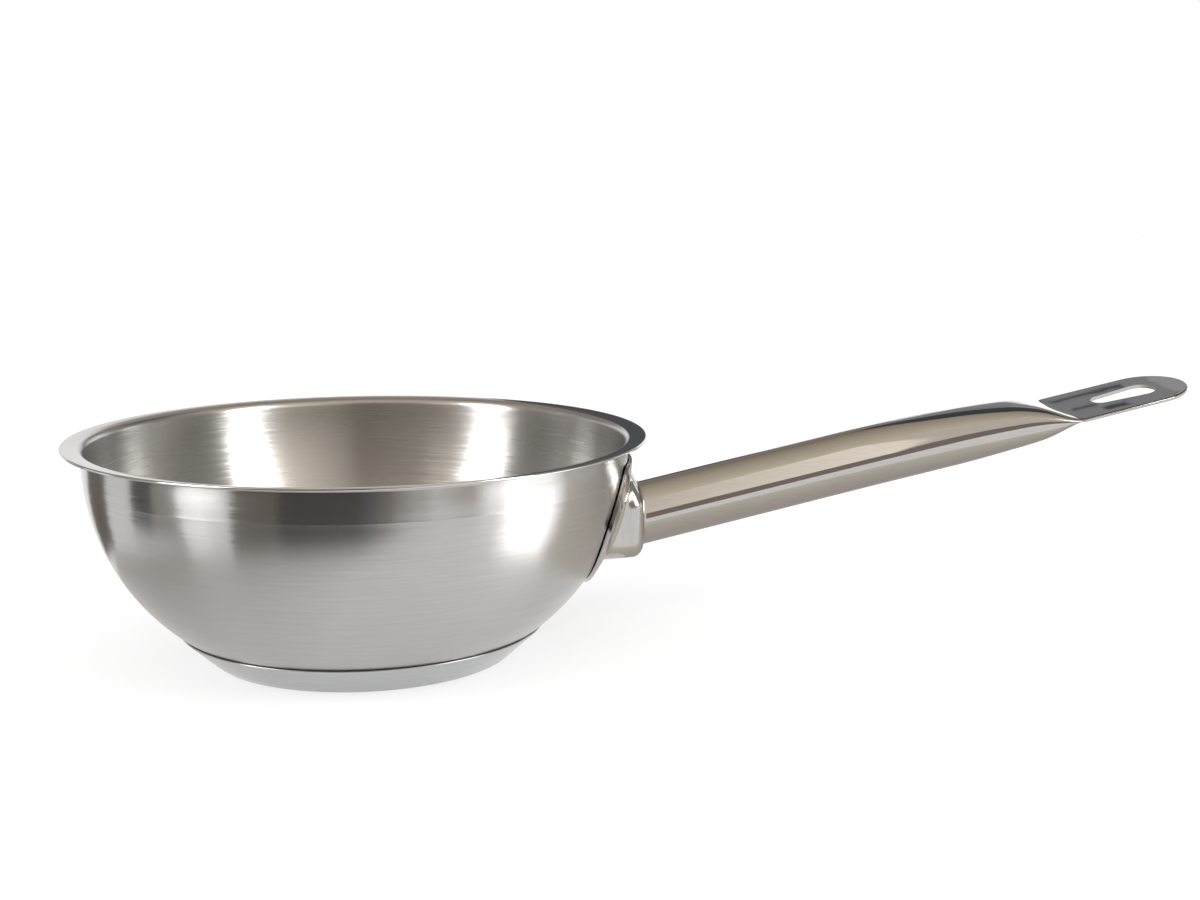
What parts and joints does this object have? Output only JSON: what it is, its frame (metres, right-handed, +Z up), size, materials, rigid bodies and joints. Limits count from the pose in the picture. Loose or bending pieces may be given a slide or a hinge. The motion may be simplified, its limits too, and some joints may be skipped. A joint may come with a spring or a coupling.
{
  "type": "saucier pan",
  "caption": "Round-sided stainless steel saucier pan with a flared pouring lip, a capped sandwich base and a long welded tube handle whose flat end has a slot for hanging.",
  "frame": {"origin": "centre of the flat underside of the base, on the axis of the bowl", "axes": "+Z up along the axis of the bowl, +X towards the handle, +Y to the left of someone who stands behind the handle and looks at the bowl"},
  "size_m": [0.4148, 0.1956, 0.0841],
  "materials": {
    "bowl_steel": "austenitic stainless sheet, brushed round inside, satin outside",
    "cap_steel": "magnetic stainless sheet, satin",
    "core_aluminium": "plain rolled disc",
    "braze_filler": "thin aluminium-silicon filler layer",
    "bracket_steel": "pressed stainless sheet, polished",
    "handle_steel": "stainless tube, polished",
    "weld_steel": "stainless weld metal, ground"
  },
  "bodies": {
    "root": {"pan_shell": "bowl_steel", "base_core_disc": "core_aluminium", "base_upper_braze": "braze_filler", "base_lower_braze": "braze_filler", "base_cap": "cap_steel", "handle_bracket": "bracket_steel", "handle_tube": "handle_steel", "handle_weld_ring": "weld_steel", "bracket_spot_welds": "weld_steel"}
  },
  "joints": []
}
